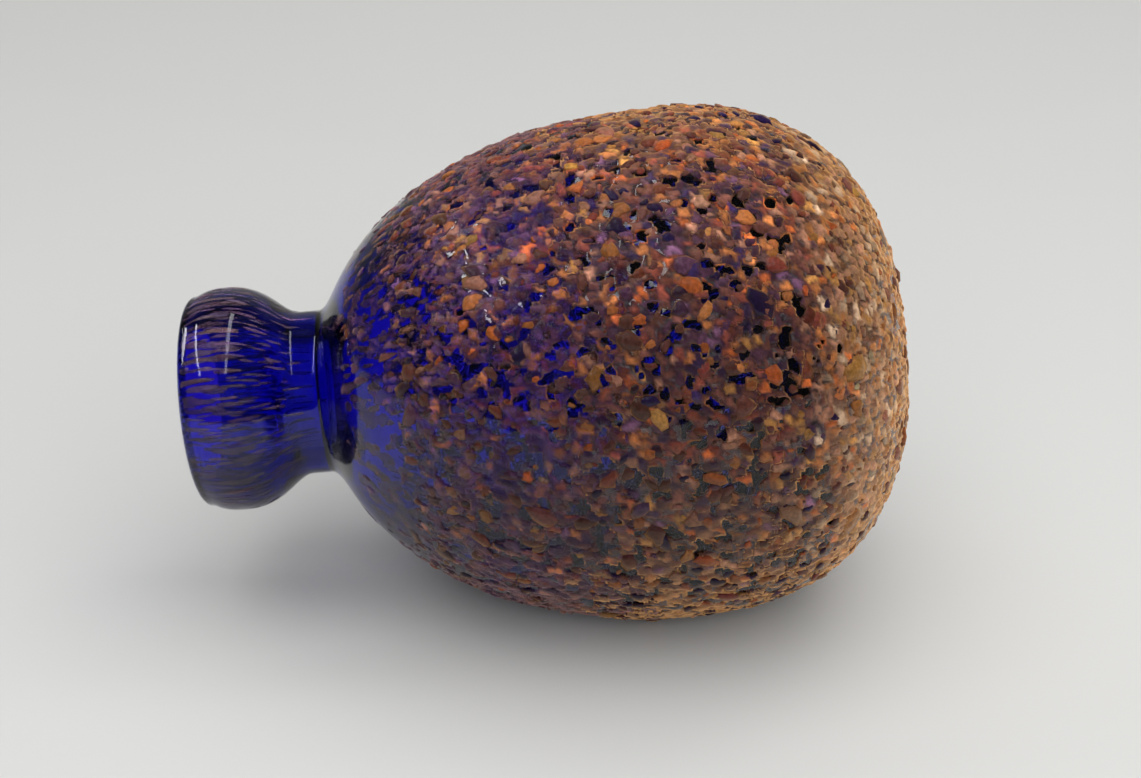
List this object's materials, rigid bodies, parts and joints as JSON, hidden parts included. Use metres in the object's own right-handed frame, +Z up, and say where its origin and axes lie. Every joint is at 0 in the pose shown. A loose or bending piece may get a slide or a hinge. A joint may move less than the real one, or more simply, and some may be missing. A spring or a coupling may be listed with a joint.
{
  "type": "perfume flask",
  "caption": "Small blown glass perfume flask lying on its side: round hollow body with a crust of crushed glass, short neck and bulbous collar with an open mouth.",
  "frame": {"origin": "middle of the small flat on the body that the flask rests on, lying on its side", "axes": "+X from the mouth towards the base, +Z up; the flask's own axis is in the XZ plane and the mouth dips 5.3 degrees"},
  "size_m": [0.085, 0.06, 0.0597],
  "materials": {
    "cobalt_glass": "cobalt glass, fire polished at the collar, rolled in crushed amber and brown glass on the body"
  },
  "bodies": {
    "root": {"flask": "cobalt_glass"}
  },
  "joints": []
}
